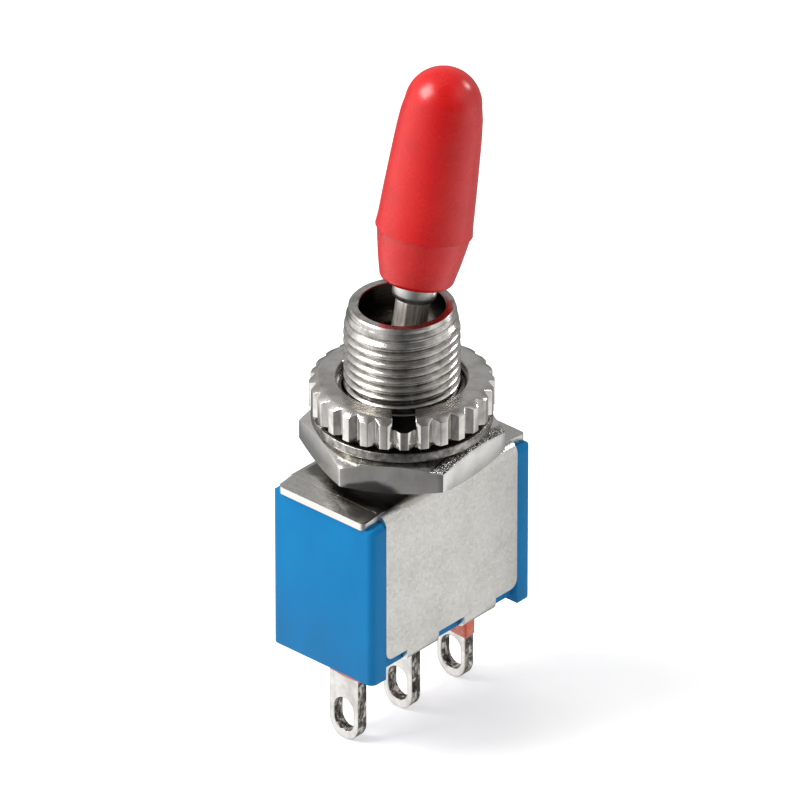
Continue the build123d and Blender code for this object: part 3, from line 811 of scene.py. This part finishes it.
# Lever cap: the skirt's foot, the ridge and the dome of the sleeve, all with soft edges
cap_profile = [(CAP_BORE, CAP_BORE_TOP), (CAP_BORE, CAP_FOOT + 0.05)]
cap_profile += [(CAP_BORE + 0.05, CAP_FOOT), (1.5, CAP_FOOT)]
cap_profile += arc(1.60, 5.40, 0.35, -82, -8, 8)
cap_profile += [(2.14, 6.2), (2.29, 7.0), (2.43, 7.8), (2.45, 7.84)]
cap_profile += arc(2.485, 7.895, 0.035, -70, 20, 4)
cap_profile += [(2.505, 8.05), (2.475, 8.3), (2.455, 8.6)]
cap_profile += [(2.40, 9.9), (2.31, 11.5), (2.21, 13.2), (2.115, 14.2)]
cap_profile += arc(0.0, CAP_TIP - 1.99, 1.99, 4, 89, 26)
cap_profile += [(0, CAP_TIP), (0, CAP_BORE_TOP)]
as_piece(
    "cap_sleeve", lathe("cap_sleeve", cap_profile, LEAN), materials["cap"],
    "lever", "lever_cap",
)

# Toggle lever: the bored stem, the ball, the eight-sided neck, the collar and the shank, turned
# from one bar
lever_profile = [(0, STEM_BORE_TOP), (STEM_BORE, STEM_BORE_TOP), (STEM_BORE, STEM_FOOT)]
lever_profile += [(STEM_RADIUS, STEM_FOOT), (STEM_RADIUS, -1.62)]
lever_profile += arc(0.0, 0.0, BALL_RADIUS, -60, 59.6, 24)
lever_profile += [(STEM_RADIUS, 2.3)]
lever_profile += [(NECK_FLATS / 2, height) for height in (2.6, 3.1, 3.6, 4.02)]
lever_profile += arc(0.74, 4.42, 0.41, -75, 0, 12)
lever_profile += [(COLLAR_RADIUS, COLLAR_TOP), (SHANK_RADIUS, COLLAR_TOP)]
lever_profile += [(SHANK_RADIUS, SHANK_TOP - 0.5), (0.5, SHANK_TOP), (0, SHANK_TOP)]
as_piece(
    "lever_bar", lathe("lever_bar", lever_profile, LEAN, (NECK_FOOT, NECK_TOP, NECK_FLATS)),
    materials["lever"], "lever", "toggle_lever",
)

# Bushing: the turned body inside the thread, then the thread's ridge, wound by Geometry Nodes
core_profile = [
    (BUSHING_BORE, BUSHING_FOOT), (BUSHING_NECK - 0.1, BUSHING_FOOT),
    (BUSHING_NECK, BUSHING_FOOT + 0.1), (BUSHING_NECK, PLATE - SHEET),
    (STAKE_HOLE, PLATE - SHEET), (STAKE_HOLE, PLATE),
    (THREAD_ROOT, PLATE), (THREAD_ROOT, -1.0), (THREAD_ROOT, 2.0),
    (THREAD_ROOT, BUSHING_TOP - 0.08),
    (RIM_RADIUS, BUSHING_TOP), (MOUTH_RADIUS + 0.06, BUSHING_TOP),
    (MOUTH_RADIUS, BUSHING_TOP - 0.06), (MOUTH_RADIUS, 3.0), (MOUTH_RADIUS, 2.14),
    (1.6, 2.14), (1.6, 1.08),
]
core_profile += arc(0.0, 0.0, SEAT_RADIUS, 34, 0, 8)
bushing_core = lathe("bushing_core", core_profile)


def wire_tree(name, sizes):
    """An empty Geometry Nodes tree with named sizes and a finish as its inputs."""
    tree = bpy.data.node_groups.new(name, "GeometryNodeTree")
    for size in sizes:
        tree.interface.new_socket(size, in_out="INPUT", socket_type="NodeSocketFloat")
    tree.interface.new_socket("Finish", in_out="INPUT", socket_type="NodeSocketMaterial")
    tree.interface.new_socket("Geometry", in_out="OUTPUT", socket_type="NodeSocketGeometry")
    return tree, add(tree, "NodeGroupInput", out=None)


def thread_tree():
    """A ridge wound up a cylinder, and faded out where it meets the neck and the rim."""
    tree, given = wire_tree("Wound thread ridge", [
        "Crest radius", "Root radius", "Pitch", "Foot height", "Top height", "Rim radius",
    ])
    foot, top, root = given["Foot height"], given["Top height"], given["Root radius"]
    height = add(tree, "ShaderNodeMath", {0: top, 1: foot}, operation="SUBTRACT")
    turns = add(tree, "ShaderNodeMath", {0: height, 1: given["Pitch"]}, operation="DIVIDE")
    inside = add(tree, "ShaderNodeMath", {0: root, 1: 0.02 * MM}, operation="SUBTRACT")
    spiral = add(tree, "GeometryNodeCurveSpiral", {
        "Resolution": 96, "Reverse": True, "Rotations": turns, "Start Radius": inside,
        "End Radius": inside, "Height": height,
    })
    upright = add(tree, "GeometryNodeSetCurveNormal", {"Curve": spiral}, mode="Z_UP")
    # The section is a rounded ridge: two flanks and a narrow crest, on its side
    depth = add(tree, "ShaderNodeMath", {0: given["Crest radius"], 1: inside}, operation="SUBTRACT")
    foot_width = add(tree, "ShaderNodeMath", {0: given["Pitch"], 1: 0.94}, operation="MULTIPLY")
    crest_width = add(tree, "ShaderNodeMath", {0: given["Pitch"], 1: 0.14}, operation="MULTIPLY")
    section = add(
        tree, "GeometryNodeCurvePrimitiveQuadrilateral",
        {
            "Height": depth, "Bottom Width": foot_width, "Top Width": crest_width,
            "Offset": 0.0,
        },
        mode="TRAPEZOID",
    )
    rounded = add(
        tree, "GeometryNodeFilletCurve", {"Curve": section, "Count": 2, "Radius": 0.03 * MM},
        mode="POLY",
    )
    half = add(tree, "ShaderNodeMath", {0: depth, 1: 0.5}, operation="MULTIPLY")
    lift = add(tree, "ShaderNodeCombineXYZ", {"Y": half})
    raised = add(tree, "GeometryNodeTransform", {"Geometry": rounded, "Translation": lift})
    turned = add(
        tree, "GeometryNodeTransform", {"Geometry": raised, "Rotation": (0.0, 0.0, -pi / 2)},
    )
    wound = add(
        tree, "GeometryNodeCurveToMesh",
        {"Curve": upright, "Profile Curve": turned, "Fill Caps": True},
    )
    from_foot = add(tree, "ShaderNodeCombineXYZ", {"Z": foot})
    based = add(tree, "GeometryNodeTransform", {"Geometry": wound, "Translation": from_foot})
    # Each point may stand only so far out: little at the foot, and under a cone at the rim
    here = add(tree, "GeometryNodeInputPosition")
    x, y, z = add(tree, "ShaderNodeSeparateXYZ", {0: here}, out=None)
    level = add(tree, "ShaderNodeCombineXYZ", {"X": x, "Y": y})
    reach = add(tree, "ShaderNodeVectorMath", {0: level}, out="Value", operation="LENGTH")
    below = add(tree, "ShaderNodeMath", {0: top, 1: z}, operation="SUBTRACT")
    steep = add(
        tree, "ShaderNodeMath", {0: below, 1: 0.5, 2: given["Rim radius"]},
        operation="MULTIPLY_ADD",
    )
    shoulder = add(tree, "ShaderNodeMath", {0: given["Rim radius"], 1: 0.09 * MM}, operation="ADD")
    gentle = add(tree, "ShaderNodeMath", {0: below, 1: 0.18, 2: shoulder}, operation="MULTIPLY_ADD")
    at_rim = add(tree, "ShaderNodeMath", {0: steep, 1: gentle}, operation="MINIMUM")
    above = add(tree, "ShaderNodeMath", {0: z, 1: foot}, operation="SUBTRACT")
    run_out = add(tree, "ShaderNodeMath", {0: root, 1: 0.1 * MM}, operation="SUBTRACT")
    at_foot = add(tree, "ShaderNodeMath", {0: above, 1: run_out}, operation="ADD")
    at_ends = add(tree, "ShaderNodeMath", {0: at_rim, 1: at_foot}, operation="MINIMUM")
    allowed = add(tree, "ShaderNodeMath", {0: reach, 1: at_ends}, operation="MINIMUM")
    share = add(tree, "ShaderNodeMath", {0: allowed, 1: reach}, operation="DIVIDE")
    drawn_in = add(tree, "ShaderNodeVectorMath", {0: level, "Scale": share}, operation="SCALE")
    ceiling = add(tree, "ShaderNodeMath", {0: top, 1: 0.01 * MM}, operation="SUBTRACT")
    capped = add(tree, "ShaderNodeMath", {0: z, 1: ceiling}, operation="MINIMUM")
    upward = add(tree, "ShaderNodeCombineXYZ", {"Z": capped})
    faded = add(tree, "ShaderNodeVectorMath", {0: drawn_in, 1: upward}, operation="ADD")
    shaped = add(tree, "GeometryNodeSetPosition", {"Geometry": based, "Position": faded})
    real = add(tree, "GeometryNodeRealizeInstances", {"Geometry": shaped})
    painted = add(tree, "GeometryNodeSetMaterial", {"Geometry": real, "Material": given["Finish"]})
    add(tree, "NodeGroupOutput", {0: painted})
    return tree


def spring_tree():
    """Round wire wound in even turns and set on the lever's axis."""
    tree, given = wire_tree("Wound spring wire", ["Coil radius", "Wire radius", "Turns", "Height"])
    coil = add(tree, "GeometryNodeCurveSpiral", {
        "Resolution": 40, "Reverse": True, "Rotations": given["Turns"],
        "Start Radius": given["Coil radius"], "End Radius": given["Coil radius"],
        "Height": given["Height"],
    })
    section = add(
        tree, "GeometryNodeCurvePrimitiveCircle",
        {"Resolution": 12, "Radius": given["Wire radius"]},
    )
    wire = add(
        tree, "GeometryNodeCurveToMesh",
        {"Curve": coil, "Profile Curve": section, "Fill Caps": True},
    )
    foot = (SPRING_FOOT * sin(LEAN) * MM, 0.0, SPRING_FOOT * cos(LEAN) * MM)
    leaned = add(
        tree, "GeometryNodeTransform",
        {"Geometry": wire, "Translation": foot, "Rotation": (0.0, LEAN, 0.0)},
    )
    real = add(tree, "GeometryNodeRealizeInstances", {"Geometry": leaned})
    painted = add(tree, "GeometryNodeSetMaterial", {"Geometry": real, "Material": given["Finish"]})
    add(tree, "NodeGroupOutput", {0: painted})
    return tree


def grown(name, tree, inputs):
    """The mesh that a Geometry Nodes tree makes from its named inputs."""
    holder = bpy.data.objects.new(name, bpy.data.meshes.new(name))
    bpy.context.scene.collection.objects.link(holder)
    modifier = holder.modifiers.new(name, "NODES")
    modifier.node_group = tree
    for socket in tree.interface.items_tree:
        if socket.in_out == "INPUT" and socket.name in inputs:
            modifier[socket.identifier] = inputs[socket.name]
    seen = holder.evaluated_get(bpy.context.evaluated_depsgraph_get())
    made = bpy.data.meshes.new_from_object(seen)
    holder.modifiers.clear()
    bpy.data.objects.remove(holder)
    shape = bmesh.new()
    shape.from_mesh(made)
    bpy.data.meshes.remove(made)
    bmesh.ops.remove_doubles(shape, verts=shape.verts, dist=0.0001 * MM)
    return mesh_of(shape, name)


ridge = grown("thread_ridge", thread_tree(), {
    "Crest radius": THREAD_RADIUS * MM, "Root radius": THREAD_ROOT * MM,
    "Pitch": THREAD_PITCH * MM, "Foot height": (PLATE + 0.3) * MM,
    "Top height": BUSHING_TOP * MM, "Rim radius": RIM_RADIUS * MM,
    "Finish": materials["thread"],
})
as_piece(
    "bushing_body", bushing_core, materials["thread"], "housing",
    "bushing",
)
as_piece(
    "bushing_thread", ridge, materials["thread"], "housing",
    "bushing",
)

# Plunger spring: round wire wound on the lever's axis
coil_mesh = grown("spring_coil", spring_tree(), {
    "Coil radius": SPRING_RADIUS * MM, "Wire radius": SPRING_WIRE / 2 * MM,
    "Turns": SPRING_TURNS, "Height": (SPRING_TOP - SPRING_FOOT) * MM,
    "Finish": materials["steel"],
})
spring_coil = as_piece(
    "spring_coil", coil_mesh, materials["steel"], "lever", "plunger_spring",
)
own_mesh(spring_coil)

# Nuts, washer, frame, case and lugs: the solids' own shapes with their edges broken
dressed = [
    ("ring_nut_dressed", "ring_nut", 0.03, 2, "ring", "nut", "nickel_plated_brass"),
    ("hex_nut_dressed", "hex_nut", 0.05, 2, "hexagon", "housing", "nickel_plated_brass"),
    ("washer_dressed", "lock_washer", 0.05, 2, "washer", "washer", "nickel_plated_steel"),
    ("frame_dressed", "frame", 0.1, 3, "sheet", "housing", "tinned_steel"),
    ("case_dressed", "case", 0.1, 2, "case", "housing", "blue_resin"),
]
for name, node, width, steps, finish_name, body, slot in dressed:
    as_piece(name, softened(node, width, steps), materials[finish_name], body, node)

# Each lug, and the resin round it, which has crept down it by the height given here
resin_creep = {"front": 1.8, "common": 1.0, "rear": 2.9}
for count, (place, creep) in enumerate(resin_creep.items()):
    as_piece(
        f"lug_{place}", softened(f"terminal_{place}", 0.07, 2), materials["lug"],
        "housing", f"terminal_{place}",
    )
    as_piece(
        f"resin_{place}", resin_bead(f"resin_{place}", (count - 1) * LUG_PITCH, creep),
        materials["resin"], "housing", f"terminal_seal_{place}",
    )

# Inner pieces keep their solids and take their finish
inner = {
    "pivot_pin": "steel", "plunger": "acetal", "contact_rocker": "silver",
    "moving_contact_front": "silver", "moving_contact_rear": "silver",
    "fixed_contact_front": "silver", "fixed_contact_rear": "silver",
}
for node, finish_name in inner.items():
    nodes[node].data.materials.clear()
    nodes[node].data.materials.append(materials[finish_name])


# Studio: a pale floor, soft lamps and a white surround with dark gaps between its panels


def paper_floor():
    """Matt white paper: it keeps the shadow, and is lifted to white where it is looked at."""
    material, tree, place = blank("Matt white paper sweep")
    fibre = add(tree, "ShaderNodeTexNoise", {"Vector": place, "Scale": 0.9, "Detail": 3.0})
    colour = add(
        tree, "ShaderNodeValToRGB", {"Fac": fibre}, stops=[(0.3, "#E6E6E6"), (0.7, "#EBEBEB")],
    )
    matt = add(tree, "ShaderNodeBsdfDiffuse", {"Color": colour})
    ray = add(tree, "ShaderNodeLightPath", out=None)
    direct = add(
        tree, "ShaderNodeMath", {0: ray["Is Camera Ray"], 1: ray["Is Glossy Ray"]},
        operation="ADD",
    )
    seen = add(tree, "ShaderNodeMath", {0: direct, 1: ray["Is Transmission Ray"]}, operation="ADD")
    strength = add(tree, "ShaderNodeMath", {0: seen, 1: FLOOR_GLOW}, operation="MULTIPLY")
    glow = add(tree, "ShaderNodeEmission", {"Color": (1, 1, 1, 1), "Strength": strength})
    both = add(tree, "ShaderNodeAddShader", {0: matt, 1: glow})
    add(tree, "ShaderNodeOutputMaterial", {"Surface": both})
    return material


bpy.ops.mesh.primitive_grid_add(size=FLOOR_SIZE, location=(0, 0, FLOOR_HEIGHT * MM))
floor = bpy.context.object
floor.name = "paper_floor"
floor.data.materials.append(paper_floor())
floor.visible_glossy = False


def softbox(name, turn, rise, width, power):
    """A square area lamp aimed at the pivot, at an angle round from +X and up from level."""
    lamp = bpy.data.lights.new(name, "AREA")
    lamp.size = width
    lamp.energy = power
    holder = bpy.data.objects.new(name, lamp)
    bpy.context.scene.collection.objects.link(holder)
    level = cos(radians(rise))
    toward = Vector((cos(radians(turn)) * level, sin(radians(turn)) * level, sin(radians(rise))))
    holder.location = toward * LAMP_DISTANCE
    holder.rotation_euler = toward.to_track_quat("Z", "Y").to_euler()
    return holder


# The metals mirror only the left and the right lamp
softbox("left_softbox", 138, 44, 0.28, 2.6)
softbox("right_softbox", -17, 27, 0.10, 0.45)
softbox("front_softbox", 282, 36, 0.26, 0.4).visible_glossy = False
softbox("top_softbox", 63, 75, 0.36, 0.8).visible_glossy = False

world = bpy.data.worlds.new("Studio surround")
bpy.context.scene.world = world
world.use_nodes = True
sky = world.node_tree
sky.nodes.clear()
ray = add(sky, "ShaderNodeLightPath", out=None)
outward = add(sky, "ShaderNodeTexCoord", out="Generated")
east, north, rise = add(sky, "ShaderNodeSeparateXYZ", {0: outward}, out=None)
turn = add(sky, "ShaderNodeMath", {0: north, 1: east}, operation="ARCTAN2")
round_share = add(sky, "ShaderNodeMapRange", {"Value": turn, "From Min": -pi, "From Max": pi})
# White panels stand to the left and the right, with a dark gap behind the camera. Below the
# horizon a second dark gap lies opposite the camera.
high = add(sky, "ShaderNodeValToRGB", {"Fac": round_share}, stops=[
    (0.0, "#B6B6B6"), (0.042, "#8C8C8C"), (0.117, "#484848"), (0.194, "#545454"),
    (0.264, "#6C6C6C"), (0.333, "#D8D8D8"), (0.403, "#CCCCCC"), (0.44, "#808080"),
    (0.5, "#8C8C8C"), (0.617, "#929292"),
    (0.736, "#A8A8A8"), (0.828, "#F0F0F0"), (0.894, "#FFFFFF"), (0.958, "#D8D8D8"),
    (1.0, "#B6B6B6"),
])
low = add(sky, "ShaderNodeValToRGB", {"Fac": round_share}, stops=[
    (0.0, "#B6B6B6"), (0.042, "#929292"), (0.117, "#585858"), (0.194, "#828282"),
    (0.333, "#DADADA"), (0.4, "#D4D4D4"), (0.444, "#9C9C9C"), (0.583, "#666666"),
    (0.667, "#666666"), (0.736, "#747474"), (0.828, "#F0F0F0"), (0.894, "#F8F8F8"),
    (0.958, "#D3D3D3"), (1.0, "#B6B6B6"),
])
risen = add(sky, "ShaderNodeMapRange", {"Value": rise, "From Min": -0.15, "From Max": 0.15})
panels = add(sky, "ShaderNodeMix", {0: risen, 6: low, 7: high}, out=2, data_type="RGBA")
overhead = add(sky, "ShaderNodeMapRange", {"Value": rise, "From Min": 0.72, "From Max": 0.97})
mirrored = add(
    sky, "ShaderNodeMix", {0: overhead, 6: panels, 7: linear("#606060")}, out=2,
    data_type="RGBA",
)
plain = add(sky, "ShaderNodeBackground", {
    "Color": linear("#C6C6C6"), "Strength": SURROUND_LIGHT,
})
studio = add(sky, "ShaderNodeBackground", {
    "Color": mirrored, "Strength": SURROUND_MIRRORED,
})
white = add(sky, "ShaderNodeBackground", {"Color": (1, 1, 1, 1), "Strength": 1.0})
direct = add(
    sky, "ShaderNodeMath", {0: ray["Is Glossy Ray"], 1: ray["Is Transmission Ray"]},
    operation="ADD",
)
lit = add(sky, "ShaderNodeMixShader", {0: direct, 1: plain, 2: studio})
behind = add(sky, "ShaderNodeMixShader", {0: ray["Is Camera Ray"], 1: lit, 2: white})
add(sky, "ShaderNodeOutputWorld", {"Surface": behind})

# Camera: a long lens at the photograph's angle
AZIMUTH = radians(-48)
ELEVATION = radians(30.5)
DISTANCE = 0.70
PIXELS_PER_MM = 19.5
AIM_UP = 2.93
AIM_RIGHT = -0.1
SENSOR = 36
PICTURE = 800
back = Vector((sin(AZIMUTH) * cos(ELEVATION), -cos(AZIMUTH) * cos(ELEVATION), sin(ELEVATION)))
right = Vector((cos(AZIMUTH), sin(AZIMUTH), 0))
up = back.cross(right)
aim = (Vector((0, 0, PLATE)) + up * AIM_UP + right * AIM_RIGHT) * MM
camera_data = bpy.data.cameras.new("long_lens")
camera_data.sensor_width = SENSOR
camera_data.lens = PIXELS_PER_MM * (DISTANCE / MM) * SENSOR / PICTURE
camera_data.clip_end = 10
camera = bpy.data.objects.new("long_lens", camera_data)
bpy.context.scene.collection.objects.link(camera)
camera.location = aim + back * DISTANCE
camera.rotation_mode = "QUATERNION"
camera.rotation_quaternion = (-back).to_track_quat("-Z", "Y")
bpy.context.scene.camera = camera
bpy.context.scene.view_settings.view_transform = "Standard"
